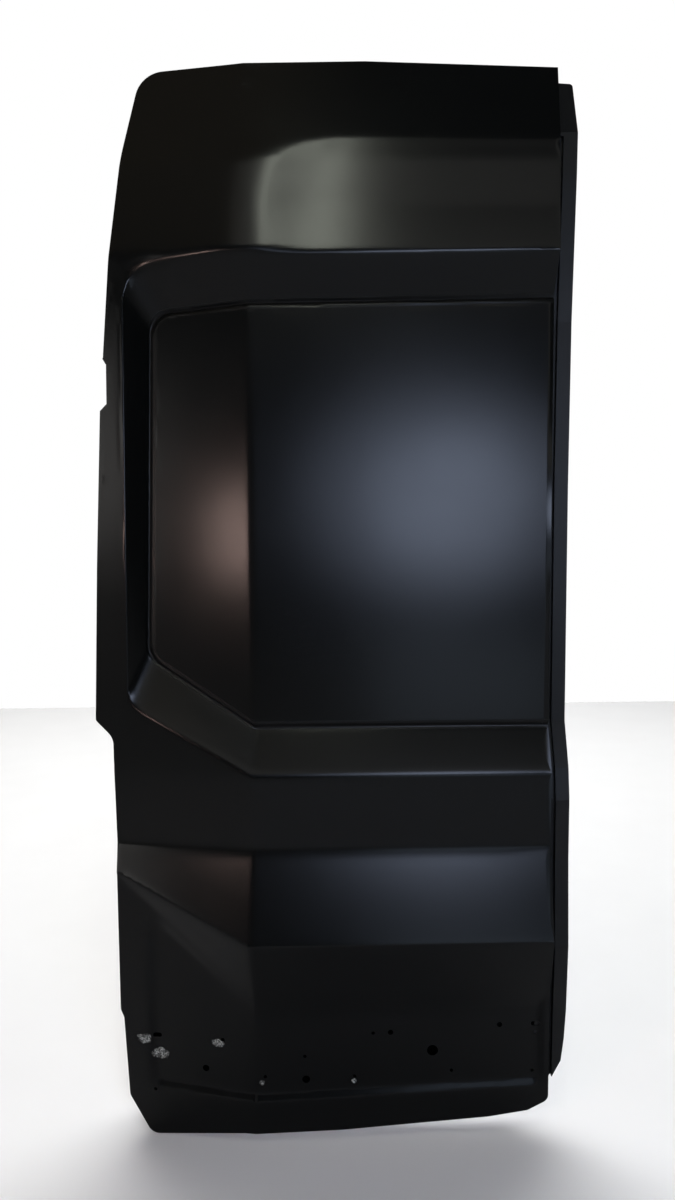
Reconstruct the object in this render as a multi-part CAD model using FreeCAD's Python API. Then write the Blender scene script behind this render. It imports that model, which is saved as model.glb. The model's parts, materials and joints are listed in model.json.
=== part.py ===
import FreeCAD, Part
import math
import os

# Left-hand rear door shell of a tall panel van, as sold before hinges, lock and trim are fitted.
# Working frame: x = 0 at the skin's edge on the centre seam and negative toward the hinges,
# y grows from the street side into the van, z = 0 at the lowest corner, millimetres.
# At the end every piece is moved so that the origin lies on the upper hinge plate.

V = FreeCAD.Vector

# Sheet thicknesses and the fit between the sheets
SKIN_T = 1.2
INNER_T = 1.5
PLATE_T = 4.0
BEAM_T = 1.5
HEM_CLEAR = 0.15
SEAT = 0.05

# Heights of the lines pressed into the skin: those above the window hang from the top edge
TOP_PEAK = 1917.0
TOP_AT_SEAM = TOP_PEAK - 9.5
BROW_TOP = TOP_PEAK - 132.0
BROW_LINE = BROW_TOP - 39.0
BROW_LOW = BROW_LINE - 71.0
REBATE_TOP = BROW_LOW - 78.0
PANE_TOP = REBATE_TOP - 67.0
PANE_BOTTOM = 768.0
REBATE_BOTTOM = 689.0
FLARE_TOP = 552.0
FLARE_CREASE = 390.0
FIELD_TOP = 272.0

# Depths of the same lines at the seam
TOP_Y = 32.0
BROW_TOP_Y = 6.5
BROW_LINE_Y = 3.5
BROW_LOW_Y = 1.5
BULGE_LINE_Y = -3.0
REBATE_TOP_Y = -5.0
BULGE_REBATE_Y = -13.0
REBATE_BOTTOM_Y = 6.0
FLARE_TOP_Y = 16.0
FLARE_CREASE_Y = -29.0
FIELD_Y = 4.0
PANE_Y = 36.0
GROOVE_DEEP = 5.0
FIELD_DEEP = 6.0

# Plan: the skin is straight from the seam to the bend and then turns away toward the hinges
BEND_X = -538.0
TURN = 11.5
INNER_Y = 88.0

# Blank window: how far its top drops past the bend, and the corners of the window and of its rebate
# on the hinge-side facet (distance from the bend, height, corner radius)
PANE_DROP = 9.0
PANE_LEFT_LOW = (-201.0, PANE_BOTTOM + 125.0, 42.0)
PANE_LEFT_TOP = (-183.0, PANE_TOP - 22.0, 40.0)
REBATE_LEFT_LOW = (-226.0, PANE_BOTTOM + 22.0, 60.0)
REBATE_LEFT_TOP = (-196.0, REBATE_TOP - 31.0, 75.0)

# Where the lower crease ends on the hinge-side facet
TUCK_EDGE_X = -250.0
TUCK_EDGE_Z = 498.0

# Inner tray
TRAY_SEAM = -24.0
TRAY_HINGE = -762.0
TRAY_BULGE = -794.0

# Overlap flange on the seam side
FLANGE_OUT = 38.0
FLANGE_IN = 15.0
GUTTER_DEEP = 12.0
FLANGE_TAB_Z = TOP_AT_SEAM - 107.5
FLANGE_TOP = TOP_AT_SEAM - 6.5
FLANGE_LINE = [(66.5, FLANGE_TOP), (38.0, FLANGE_TAB_Z + 4.0), (41.0, FLANGE_TAB_Z - 70.0),
               (62.0, PANE_TOP - 40.0), (70.0, 1200.0), (70.0, 770.0), (38.0, 690.0), (29.0, 632.0),
               (30.0, 520.0), (21.0, 360.0), (31.0, 233.0), (36.0, 60.0)]

# Hinges
UPPER_HINGE_Z = 1388.0
LOWER_HINGE_Z = 160.0
HINGE_PLATE_H = 76.0
HINGE_BOLT_PITCH = 44.0
HINGE_BOLT_R = 4.5
HINGE_PLATE_Y0 = 74.0
HINGE_PLATE_Y1 = 114.0
NOTCH_TOP = UPPER_HINGE_Z + HINGE_PLATE_H / 2
NOTCH_LOW = UPPER_HINGE_Z - HINGE_PLATE_H / 2

# Beams and uprights between the sheets
UPPER_BEAM_Z = REBATE_TOP + 23.0
UPPER_BEAM_H = 64.0
WAIST_BEAM_Z = 590.0
WAIST_BEAM_H = 66.0
LOWER_BEAM_Z = 210.0
LOWER_BEAM_H = 70.0
BEAM_GAP = 14.0
BEAM_FOOT = 16.0
BOW_SEAM_X = -200.0
BOW_BEND_X = -420.0
BOW_HALF = 30.0
BOW_GAP = 4.0
BOW_PAD_HALF = 8.0
BOW_LAP = 26.0

# Stiffening swages of the inner face: depth, heights, then x from, x to, z from, z to on each facet
SWAGE = 9.0
SWAGE_LOW = (REBATE_BOTTOM + 11.0, PANE_BOTTOM + 2.0)
SWAGE_MIDDLE = (PANE_TOP - 10.0, PANE_TOP + 60.0)
SWAGE_HIGH = (TOP_PEAK - 145.0, TOP_PEAK - 75.0)
SWAGES_SEAM = [(-500.0, -90.0) + SWAGE_MIDDLE, (-500.0, -90.0) + SWAGE_HIGH, (-490.0, -120.0) + SWAGE_LOW]
SWAGES_HINGE = [(-150.0, -10.0) + SWAGE_MIDDLE, (-130.0, -10.0) + SWAGE_HIGH, (-165.0, -20.0) + SWAGE_LOW]

# Round holes in the lower field: x, z, radius
FIELD_HOLES = [
    (-213.0, 172.0, 10.0),
    (-445.0, 121.0, 7.0),
    (-630.0, 135.0, 6.0),
    (-290.0, 208.0, 4.8),
    (-322.0, 207.0, 3.0),
    (-90.0, 219.0, 4.8),
    (-24.0, 203.0, 3.5),
    (-178.0, 133.0, 3.0),
    (-29.0, 130.0, 3.0),
    (-447.0, 165.0, 3.0),
    (-356.0, 125.0, 3.0),
    (-520.0, 127.0, 3.0),
    (-598.0, 192.0, 4.0),
    (-726.0, 88.0, 3.0),
]
FIELD_SLOTS = [(-24.0, 220.0, 16.0, 8.0), (-721.0, 191.0, 16.0, 8.0)]

# Openings of the inner face: x from, x to, z from, z to, corner radius
OPEN_HINGE = -690.0
OPEN_SEAM = -80.0
RIB_HINGE = -410.0
RIB_SEAM = -330.0
WINDOW = (OPEN_HINGE, OPEN_SEAM, PANE_BOTTOM + 47.0, PANE_TOP - 60.0, 60.0)
REACH = [(OPEN_HINGE, RIB_HINGE, 420.0, 540.0, 40.0), (RIB_SEAM, OPEN_SEAM, 420.0, 540.0, 40.0)]

# Door check, lock and lock rods
CHECK_Z = 925.0
CHECK_Y = 96.0
LATCH_Z = 640.0
LATCH_Y = 50.0
LATCH_PITCH_Y = 32.0
LATCH_PITCH_Z = 84.0
LATCH_BOLT_R = 3.3
ROD_R = 8.0
ROD_X = -110.0
ROD_TOP_Z = TOP_PEAK - 187.0
ROD_LOW_Z = 330.0
STIFFENER_T = 3.0

BIG = 3000.0


def plane_xz(points, y):
    """Closed wire through (x, z, corner radius) points in the plane at depth y."""
    count = len(points)
    edges = []
    ends = []
    for i in range(count):
        px, pz, r = points[i]
        here = V(px, y, pz)
        before = V(points[i - 1][0], y, points[i - 1][1])
        after = V(points[(i + 1) % count][0], y, points[(i + 1) % count][1])
        if r <= 0:
            ends.append((here, None, here))
            continue
        u = (before - here).normalize()
        w = (after - here).normalize()
        half = math.acos(max(-1.0, min(1.0, u.dot(w)))) / 2
        run = r / math.tan(half)
        mid = (u + w).normalize()
        top = here + mid * (r / math.sin(half) - r)
        ends.append((here + u * run, top, here + w * run))
    for i in range(count):
        a, top, b = ends[i]
        if top is not None:
            edges.append(Part.Arc(a, top, b).toShape())
        nxt = ends[(i + 1) % count][0]
        edges.append(Part.LineSegment(b, nxt).toShape())
    return Part.Wire(edges)


def prism(points, y0=-BIG / 10, y1=BIG / 10):
    """Straight prism along y on an outline of (x, z, corner radius) points."""
    return Part.Face(plane_xz(points, y0)).extrude(V(0, y1 - y0, 0))


def box(x0, x1, y0, y1, z0, z1):
    return Part.makeBox(x1 - x0, y1 - y0, z1 - z0, V(x0, y0, z0))


def turned(shape):
    """Turn a shape modelled along x = 0 so that it lies on the hinge-side facet."""
    moved = shape.copy()
    moved.rotate(V(0, 0, 0), V(0, 0, 1), -TURN)
    moved.translate(V(BEND_X, 0, 0))
    return moved


def mitre(right_side):
    """Half space on one side of the plane that halves the plan bend."""
    block = box(0, BIG, -BIG, BIG, -BIG, BIG) if right_side else box(-BIG, 0, -BIG, BIG, -BIG, BIG)
    block.rotate(V(0, 0, 0), V(0, 0, 1), -TURN / 2)
    block.translate(V(BEND_X, 0, 0))
    return block


RIGHT = mitre(True)
LEFT = mitre(False)


def bent(right, left):
    """Join what lies on the seam-side facet with what lies on the hinge-side facet."""
    return right.common(RIGHT).fuse(turned(left).common(LEFT)).removeSplitter()


def along(section, x0, x1):
    """Prism along x on a section of (y, z) points."""
    wire = Part.makePolygon([V(x0, y, z) for y, z in section + section[:1]])
    return Part.Face(wire).extrude(V(x1 - x0, 0, 0))


def bent_along(section):
    return bent(along(section, BEND_X - 200, 200), along(section, -500, 200))


def frustum(front, y_front, back, y_back):
    """Ruled solid between two outlines at two depths."""
    return Part.makeLoft([plane_xz(front, y_front), plane_xz(back, y_back)], True, True)


def section_of_skin():
    return [
        (TOP_Y + 8, TOP_PEAK + 40),
        (BROW_TOP_Y, BROW_TOP),
        (BULGE_LINE_Y, BROW_LINE),
        (BULGE_REBATE_Y, REBATE_TOP),
        (REBATE_BOTTOM_Y, REBATE_BOTTOM),
        (FLARE_TOP_Y, FLARE_TOP),
        (FLARE_CREASE_Y, FLARE_CREASE),
        (FIELD_Y, FIELD_TOP),
        (FIELD_Y, -60.0),
        (BIG / 10, -60.0),
        (BIG / 10, TOP_PEAK + 40),
    ]


def recess():
    """Shallow recess above the window, open to the rebate, with a soft rounded upper left corner."""
    depth = [
        (-80.0, BROW_TOP + 40),
        (BROW_TOP_Y - 8, BROW_TOP + 36),
        (BROW_TOP_Y, BROW_TOP),
        (BROW_LINE_Y, BROW_LINE),
        (BROW_LOW_Y, BROW_LOW),
        (REBATE_TOP_Y, REBATE_TOP),
        (REBATE_TOP_Y + 1, REBATE_TOP - 40),
        (-80.0, REBATE_TOP - 40),
    ]
    front = [(BEND_X + 8, BROW_TOP + 50, 120), (200, BROW_TOP + 50, 0), (200, REBATE_TOP - 60, 0),
             (BEND_X + 8, REBATE_TOP - 60, 0)]
    back = [(BEND_X + 88, BROW_TOP - 40, 80), (200, BROW_TOP - 40, 0), (200, REBATE_TOP - 60, 0),
            (BEND_X + 88, REBATE_TOP - 60, 0)]
    return along(depth, BEND_X - 100, 200).common(frustum(front, -25.0, back, 25.0))


def pane_right(d):
    """Window outline on the seam-side facet, moved in by d."""
    return [(BEND_X - 120, PANE_BOTTOM + d, 0), (200, PANE_BOTTOM + d, 0), (200, PANE_TOP + 3.3 - d, 0),
            (BEND_X - 120, PANE_TOP - PANE_DROP - 2 - d, 0)]


def pane_left(d):
    """Window outline on the hinge-side facet, moved in by d."""
    low = PANE_LEFT_LOW
    top = PANE_LEFT_TOP
    return [(120, PANE_BOTTOM + d, 0), (120, PANE_TOP - PANE_DROP - d, 0), (0, PANE_TOP - PANE_DROP - d, 0),
            (top[0] + d, top[1] - d, top[2]), (low[0] + d, low[1] + d * 0.6, low[2]), (0, PANE_BOTTOM + d, 0)]


def rebate_right(up, down):
    """Outer line of the rebate on the seam-side facet, moved out by so much above and below."""
    return [(BEND_X - 120, REBATE_BOTTOM - down, 0), (200, REBATE_BOTTOM - down, 0),
            (200, REBATE_TOP + 3.3 + up, 0), (BEND_X - 120, REBATE_TOP - PANE_DROP - 2 + up, 0)]


def rebate_left(up, down, out):
    """Outer line of the rebate on the hinge-side facet, moved out by so much above, below and beside."""
    low = REBATE_LEFT_LOW
    top = REBATE_LEFT_TOP
    return [(120, REBATE_BOTTOM - down, 0), (120, REBATE_TOP - PANE_DROP + up, 0),
            (0, REBATE_TOP - PANE_DROP + up, 0), (top[0] - out, top[1] + up, top[2]),
            (low[0] - out, low[1] - 0.55 * down, low[2]), (0, REBATE_BOTTOM - down, 0)]


def window_pocket():
    """Sloped rebate round the blank window, down to the bottom of the groove."""
    front = -24.0
    floor = PANE_Y + GROOVE_DEEP
    up = (REBATE_TOP - PANE_TOP) * (floor - front) / (floor - REBATE_TOP_Y) - (REBATE_TOP - PANE_TOP)
    down = (PANE_BOTTOM - REBATE_BOTTOM) * ((floor - front) / (floor - REBATE_BOTTOM_Y) - 1)
    right = frustum(rebate_right(up, down), front, pane_right(0), floor)
    left = frustum(rebate_left(up, down, 21.0), front, pane_left(0), floor)
    return bent(right, left)


def window_pad():
    """Blank window panel, standing up from the bottom of the groove."""
    right = frustum(pane_right(6.5), PANE_Y, pane_right(3), PANE_Y + GROOVE_DEEP + 2)
    left = frustum(pane_left(6.5), PANE_Y, pane_left(3), PANE_Y + GROOVE_DEEP + 2)
    return bent(right, left)


def tuck_plane():
    """The lower crease climbs toward the hinges: cut what stands in front of its tucked face."""
    slope = (FLARE_TOP_Y - FLARE_CREASE_Y) / (FLARE_TOP - FLARE_CREASE)
    a = V(0, FLARE_CREASE_Y, FLARE_CREASE)
    b = V(TUCK_EDGE_X, FLARE_CREASE_Y + slope * (TUCK_EDGE_Z - FLARE_CREASE), TUCK_EDGE_Z)
    c = V(0, FIELD_Y, FIELD_TOP)
    normal = (b - a).cross(c - a).normalize()
    if normal.y > 0:
        normal = normal * -1
    slab = box(-BIG, BIG, 0, 400, -BIG, BIG)
    slab.Placement = FreeCAD.Placement(a, FreeCAD.Rotation(V(0, 1, 0), normal))
    return slab.common(box(-600, 300, -300, FIELD_Y, -100, FLARE_TOP + 60))


def field_pocket():
    """Flat lower field with the holes, bounded below by a ridge and beside the seam by a bead."""
    tuck = (FIELD_TOP - FLARE_CREASE) / (FIELD_Y - FLARE_CREASE_Y)
    fall = tuck * FIELD_DEEP
    top = FIELD_TOP
    deep = FIELD_Y + FIELD_DEEP
    fr = [(BEND_X - 120, top, 0), (-9, top, 0), (-9, 103, 22), (BEND_X - 120, 74, 0)]
    br = [(BEND_X - 120, top + fall, 0), (-20, top + fall, 0), (-20, 118, 16), (BEND_X - 120, 90, 0)]
    right = frustum(fr, FIELD_Y, br, deep)
    front = FIELD_Y - 30
    clear = along([(front, top - tuck * 30), (front, 0), (FIELD_Y, 0), (FIELD_Y, top)], BEND_X - 200, 200)
    right = right.fuse(prism(fr, front, FIELD_Y).common(clear))
    rise = (TUCK_EDGE_Z - FIELD_TOP - 18) / TUCK_EDGE_X
    fl = [(120, top + 120 * rise, 0), (-205, top - 205 * rise, 20), (-205, 92, 24), (0, 80, 0), (120, 80, 0)]
    bl = [(120, top + fall + 120 * rise, 0), (-190, top + fall - 190 * rise, 14), (-190, 108, 16), (0, 96, 0),
          (120, 96, 0)]
    left = frustum(fl, FIELD_Y, bl, deep)
    return bent(right, left)


def make_die():
    """Solid whose front is the street side of the skin."""
    right = along(section_of_skin(), BEND_X - 200, 200).cut(recess())
    left = along(section_of_skin(), -500, 200).cut(tuck_plane())
    die = bent(right, left)
    die = die.cut(window_pocket())
    die = die.fuse(window_pad())
    die = die.cut(field_pocket())
    return die.removeSplitter()


def moved(shape, y):
    copy = shape.copy()
    copy.translate(V(0, y, 0))
    return copy


DIE = make_die()


def oval(x0, x1, z0, z1, d):
    """Rounded outline, moved in by d."""
    r = (z1 - z0) / 2 * 0.9
    a, b, c, e = x0 + d, x1 - d, z0 + d, z1 - d
    return [(a, c, r - d), (b, c, r - d), (b, e, r - d), (a, e, r - d)]


def swage(x0, x1, z0, z1):
    """Stiffening swage pressed toward the skin."""
    return frustum(oval(x0, x1, z0, z1, SWAGE), INNER_Y - SWAGE, oval(x0, x1, z0, z1, -0.5), INNER_Y + 0.5)


def make_inner():
    """Solid whose front is the skin side of the inner face."""
    block = [(INNER_Y, -60.0), (INNER_Y, TOP_PEAK + 40), (BIG / 10, TOP_PEAK + 40), (BIG / 10, -60.0)]
    die = bent_along(block)
    for area in SWAGES_SEAM:
        die = die.fuse(swage(*area))
    for area in SWAGES_HINGE:
        die = die.fuse(turned(swage(*area)))
    return die.removeSplitter()


INNER = make_inner()


def sheet(y0, y1, outline):
    """Sheet that follows the skin between two depths behind its street side."""
    return moved(DIE, y0).common(outline).cut(moved(DIE, y1))


def inner_sheet(y0, y1, outline):
    """Sheet that follows the inner face."""
    return moved(INNER, y0).common(outline).cut(moved(INNER, y1))


def skin_outline(d):
    """Edge of the skin, moved in by d."""
    rise = TOP_PEAK - NOTCH_TOP
    return [
        (-d, TOP_AT_SEAM - d, 0),
        (-329.0, TOP_PEAK - d, 0),
        (-560.0, TOP_PEAK - 4.5 - d, 0),
        (-714.0 + d, TOP_PEAK - 6.0 - d, 48.0),
        (-746.0 + d, NOTCH_TOP + 0.705 * rise, 400.0),
        (-771.5 + d, NOTCH_TOP + 0.334 * rise, 400.0),
        (-786.5 + d, NOTCH_TOP, 0),
        (-781.3 + d, NOTCH_TOP - 9.0, 0),
        (-782.6 + d, NOTCH_LOW - 3.0, 0),
        (-795.0 + d, NOTCH_LOW - 15.0, 0),
        (-810.0 + d, 1060.0, 0),
        (-822.0 + d, 782.0 + 0.4 * d, 8.0),
        (-790.0 + d, 750.5 + 0.4 * d, 30.0),
        (-789.5 + d, 237.0, 0),
        (-783.3 + d, 222.0, 0),
        (-775.5 + d, 72.0 + 0.5 * d, 20.0),
        (-734.0 + 0.7 * d, d, 22.0),
        (-558.0, 20.0 + d, 0),
        (-380.0, 25.5 + d, 300.0),
        (-110.0, 45.5 + d, 60.0),
        (-38.0 - 0.5 * d, 56.5 + d, 12.0),
        (-d, 76.0 + 1.2 * d, 16.0),
    ]


def tray_outline(d):
    """Line of the tray walls, moved in by d."""
    return [
        (TRAY_SEAM - d, TOP_AT_SEAM - 27.5 - d, 12.0),
        (-690.0 + d, TOP_PEAK - 31.0 - d, 30.0),
        (-722.0 + d, TOP_PEAK - 217.0, 0),
        (TRAY_HINGE + d, UPPER_HINGE_Z + 102.0, 0),
        (TRAY_HINGE + d, UPPER_HINGE_Z - 98.0, 0),
        (TRAY_BULGE + d, 1040.0, 0),
        (TRAY_BULGE + d, 810.0 + 0.3 * d, 0),
        (TRAY_HINGE + d, 745.0 + 0.3 * d, 0),
        (TRAY_HINGE + d, 86.0 + 0.6 * d, 20.0),
        (-722.0 + 0.7 * d, 27.0 + d, 20.0),
        (-58.0 - 0.5 * d, 82.0 + d, 14.0),
        (TRAY_SEAM - d, 104.0 + 0.8 * d, 14.0),
    ]


def drill_y(x, z, r):
    return Part.makeCylinder(r, 400, V(x, -100, z), V(0, 1, 0))


def drill_x(x, y, z, r):
    return Part.makeCylinder(r, 60, V(x - 30, y, z), V(1, 0, 0))


def slot_y(x, z, length, width):
    r = width / 2
    return prism([(x - length / 2, z - r, r * 0.98), (x + length / 2, z - r, r * 0.98),
                  (x + length / 2, z + r, r * 0.98), (x - length / 2, z + r, r * 0.98)])


def outer_skin():
    hem = SKIN_T + INNER_T + 2 * HEM_CLEAR
    face = sheet(0, SKIN_T, prism(skin_outline(0)))
    edge = prism(skin_outline(0)).cut(prism(skin_outline(SKIN_T)))
    lip = prism(skin_outline(0)).cut(prism(skin_outline(11)))
    skin = face.fuse([sheet(0, hem + SKIN_T, edge), sheet(hem, hem + SKIN_T, lip)])
    for x, z, r in FIELD_HOLES:
        skin = skin.cut(drill_y(x, z, r))
    for x, z, length, width in FIELD_SLOTS:
        skin = skin.cut(slot_y(x, z, length, width))
    return skin


def opening(x0, x1, z0, z1, r):
    return prism([(x0, z0, r), (x1, z0, r), (x1, z1, r), (x0, z1, r)])


def corners(area, low, high):
    """Square blocks that hold the rounded corners of an opening."""
    x0, x1, z0, z1, r = area
    blocks = []
    for wanted, a, b in ((low, z0, z0 + r), (high, z1 - r, z1)):
        if wanted:
            blocks.append(box(x0, x0 + r, -300, 300, a, b))
            blocks.append(box(x1 - r, x1, -300, 300, a, b))
    return blocks


def hinge_holes(z):
    y = (HINGE_PLATE_Y0 + HINGE_PLATE_Y1) / 2
    up = drill_x(TRAY_HINGE, y, z + HINGE_BOLT_PITCH / 2, HINGE_BOLT_R)
    return up.fuse(drill_x(TRAY_HINGE, y, z - HINGE_BOLT_PITCH / 2, HINGE_BOLT_R))


def check_slot():
    return box(TRAY_BULGE - 20, TRAY_BULGE + 20, CHECK_Y - 9, CHECK_Y + 9, CHECK_Z - 20, CHECK_Z + 20)


def latch_cut():
    """Mouth for the lock in the seam wall, and its four bolts."""
    cut = box(TRAY_SEAM - 30, TRAY_SEAM + 10, LATCH_Y - 8, LATCH_Y + 8, LATCH_Z - 28, LATCH_Z + 28)
    for dy in (-LATCH_PITCH_Y / 2, LATCH_PITCH_Y / 2):
        for dz in (-LATCH_PITCH_Z / 2, LATCH_PITCH_Z / 2):
            cut = cut.fuse(drill_x(TRAY_SEAM, LATCH_Y + dy, LATCH_Z + dz, LATCH_BOLT_R))
    return cut


def inner_panel():
    """The whole inner pressing before it is parted into its welded members."""
    start = SKIN_T + HEM_CLEAR
    tray = prism(tray_outline(0))
    ring = tray.cut(prism(tray_outline(INNER_T)))
    border = prism(skin_outline(SKIN_T + 2 * HEM_CLEAR)).cut(prism(tray_outline(INNER_T)))
    flange = sheet(start, start + INNER_T, border)
    wall = moved(DIE, start).common(ring).cut(moved(INNER, INNER_T))
    face = inner_sheet(0, INNER_T, tray)
    for area in [WINDOW] + REACH:
        face = face.cut(opening(*area))
    panel = flange.fuse([wall, face]).removeSplitter()
    panel = panel.cut([hinge_holes(UPPER_HINGE_Z), hinge_holes(LOWER_HINGE_Z), check_slot(), latch_cut()])
    return panel.cut([drill_y(ROD_X, ROD_TOP_Z, ROD_R), drill_y(ROD_X, ROD_LOW_Z, ROD_R)])


def parted(panel):
    """Cut the inner pressing along its weld lines."""
    top = WINDOW[3]
    far = 1000.0
    side_low = corners(WINDOW, True, True)
    hinge_side = box(-far, OPEN_HINGE, -300, 300, -far, top).fuse(side_low[0::2])
    seam_side = box(OPEN_SEAM, far, -300, 300, -far, top).fuse(side_low[1::2])
    waist = box(OPEN_HINGE, OPEN_SEAM, -300, 300, REACH[0][3], top).cut(side_low)
    bottom = box(OPEN_HINGE, OPEN_SEAM, -300, 300, -far, REACH[0][2])
    rib = box(RIB_HINGE, RIB_SEAM, -300, 300, REACH[0][2], REACH[0][3])
    for area in REACH:
        waist = waist.fuse(corners(area, False, True))
        bottom = bottom.fuse(corners(area, True, False))
    return {
        "inner_upper": panel.common(box(-far, far, -300, 300, top, 3 * far)),
        "inner_hinge_side": panel.common(hinge_side),
        "inner_seam_side": panel.common(seam_side),
        "inner_waist": panel.common(waist),
        "inner_bottom": panel.common(bottom),
        "inner_rib": panel.common(rib),
    }


def flange_sheet(y0, y1, outline):
    """Sheet that follows the line of the overlap flange between two depths."""
    block = along(FLANGE_LINE + [(BIG / 10, FLANGE_LINE[-1][1]), (BIG / 10, FLANGE_TOP)], -60, 60)
    return moved(block, y0).common(outline).cut(moved(block, y1))


def overlap_flange():
    """Set-back strip that the other door closes against, with its gutter."""
    deep = GUTTER_DEEP + BEAM_T
    out = FLANGE_OUT
    whole = prism([(TRAY_SEAM, 104, 0), (6, 86, 0), (out - 8, 133, 0), (out - 3, 176, 0), (out, 234, 0),
                   (out, FLANGE_TAB_Z + 3, 0), (out - 4, FLANGE_TOP - 6, 6), (TRAY_SEAM, FLANGE_TOP - 2, 0)])
    inside = FLANGE_IN - BEAM_T
    low = box(-BIG, FLANGE_IN, -BIG, BIG, 0, FLANGE_TAB_Z)
    high = box(-BIG, FLANGE_IN, -BIG, BIG, FLANGE_TAB_Z - BEAM_T, BIG)
    beside = box(inside, BIG, -BIG, BIG, 0, BIG)
    gutter = flange_sheet(GUTTER_DEEP, deep, whole.common(low))
    strip = flange_sheet(0, BEAM_T, whole.common(beside))
    riser = flange_sheet(0, deep, whole.common(low).common(beside))
    tab = flange_sheet(0, BEAM_T, whole.common(high))
    end = flange_sheet(0, deep, whole.common(low).common(high))
    flange = gutter.fuse([strip, riser, tab, end]).removeSplitter()
    return flange.cut(prism(tray_outline(-SEAT)))


def hinge_plate(z):
    plate = box(TRAY_HINGE - PLATE_T, TRAY_HINGE - SEAT, HINGE_PLATE_Y0, HINGE_PLATE_Y1,
                z - HINGE_PLATE_H / 2, z + HINGE_PLATE_H / 2)
    return plate.cut(hinge_holes(z))


def cross_beam(z0, high, y_web):
    """Hat beam across the door: web toward the skin, feet on the inner face."""
    z1 = z0 + high
    back = INNER_Y - SEAT
    t = BEAM_T
    foot = BEAM_FOOT
    section = [(back, z0 - foot), (back, z0 + t), (y_web + t, z0 + t), (y_web + t, z1 - t), (back, z1 - t),
               (back, z1 + foot), (back - t, z1 + foot), (back - t, z1), (y_web, z1), (y_web, z0),
               (back - t, z0), (back - t, z0 - foot)]
    return bent_along(section).common(prism(tray_outline(INNER_T + 9)))


def window_bow(x):
    """Upright hat behind the blank window, its feet on the inner face above and below the opening."""
    t = BEAM_T
    h = BOW_HALF
    f = BOW_HALF + BEAM_FOOT
    back = INNER_Y - SEAT
    web = PANE_Y + SKIN_T + BOW_GAP
    pts = [(x - f, back), (x - h, back), (x - h + t, web + t), (x + h - t, web + t), (x + h, back),
           (x + f, back), (x + f, back - t), (x + h + 1, back - t), (x + h, web), (x - h, web),
           (x - h - 1, back - t), (x - f, back - t)]
    low = WINDOW[2] - BOW_LAP
    wire = Part.makePolygon([V(px, py, low) for px, py in pts + pts[:1]])
    return Part.Face(wire).extrude(V(0, 0, WINDOW[3] + BOW_LAP - low))


def bow_pad(x):
    """Soft bead between the blank window and the upright behind it."""
    near = PANE_Y + SKIN_T
    return box(x - BOW_PAD_HALF, x + BOW_PAD_HALF, near + SEAT, near + BOW_GAP - SEAT,
               WINDOW[2] + BOW_LAP, WINDOW[3] - BOW_LAP)


def hinge_backing(z):
    """Stiffener inside the hinge wall, drilled with the plate outside."""
    x = TRAY_HINGE + INNER_T + SEAT
    plate = box(x, x + STIFFENER_T, HINGE_PLATE_Y0 - 4, HINGE_PLATE_Y1 + 4, z - 62, z + 62)
    return plate.cut(hinge_holes(z))


def check_plate():
    """Stiffener inside the hinge wall for the arm that stops the door."""
    x = TRAY_BULGE + INNER_T + SEAT
    return box(x, x + STIFFENER_T, CHECK_Y - 20, CHECK_Y + 20, CHECK_Z - 45, CHECK_Z + 45).cut(check_slot())


def latch_plate():
    """Stiffener inside the seam wall for the lock."""
    x = TRAY_SEAM - INNER_T - SEAT
    return box(x - STIFFENER_T, x, LATCH_Y - 26, LATCH_Y + 26, LATCH_Z - 70, LATCH_Z + 70).cut(latch_cut())


def rod_plate(z, high):
    """Stiffener on the inner face where a lock rod is guided."""
    y = INNER_Y - SEAT
    plate = box(ROD_X - 34, ROD_X + 26, y - STIFFENER_T, y, z - high / 2, z + high / 2)
    return plate.cut(drill_y(ROD_X, z, ROD_R))


pieces = {}
pieces["outer_skin"] = outer_skin()
pieces.update(parted(inner_panel()))
pieces["overlap_flange"] = overlap_flange()
pieces["upper_hinge_plate"] = hinge_plate(UPPER_HINGE_Z)
pieces["lower_hinge_plate"] = hinge_plate(LOWER_HINGE_Z)
pieces["upper_hinge_backing"] = hinge_backing(UPPER_HINGE_Z)
pieces["lower_hinge_backing"] = hinge_backing(LOWER_HINGE_Z)
pieces["check_plate"] = check_plate()
pieces["latch_plate"] = latch_plate()
pieces["upper_rod_plate"] = rod_plate(ROD_TOP_Z, 50.0)
pieces["lower_rod_plate"] = rod_plate(ROD_LOW_Z, 36.0)
pieces["upper_beam"] = cross_beam(UPPER_BEAM_Z, UPPER_BEAM_H, REBATE_TOP_Y + BEAM_GAP)
pieces["waist_beam"] = cross_beam(WAIST_BEAM_Z, WAIST_BEAM_H, FLARE_TOP_Y + BEAM_GAP)
pieces["lower_beam"] = cross_beam(LOWER_BEAM_Z, LOWER_BEAM_H, FIELD_Y + FIELD_DEEP + BEAM_GAP)
pieces["window_bow_seam"] = window_bow(BOW_SEAM_X)
pieces["window_bow_bend"] = window_bow(BOW_BEND_X)
pieces["bow_pad_seam"] = bow_pad(BOW_SEAM_X)
pieces["bow_pad_bend"] = bow_pad(BOW_BEND_X)

ORIGIN = V(TRAY_HINGE - PLATE_T, (HINGE_PLATE_Y0 + HINGE_PLATE_Y1) / 2, UPPER_HINGE_Z)
os.makedirs("parts", exist_ok=True)
for name, shape in pieces.items():
    if len(shape.Solids) == 1:
        shape = shape.Solids[0]
    shape.translate(ORIGIN * -1)
    print(name, len(shape.Solids), shape.isValid(), round(shape.Volume / 1000, 1), len(shape.Faces))
    shape.exportStep("parts/%s.step" % name)
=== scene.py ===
import json
import math

import bmesh
import bpy
from bpy.props import FloatProperty, IntProperty, PointerProperty
from mathutils import Matrix, Vector
from mathutils.bvhtree import BVHTree
from mathutils.geometry import delaunay_2d_cdt
from mathutils.kdtree import KDTree

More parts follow.
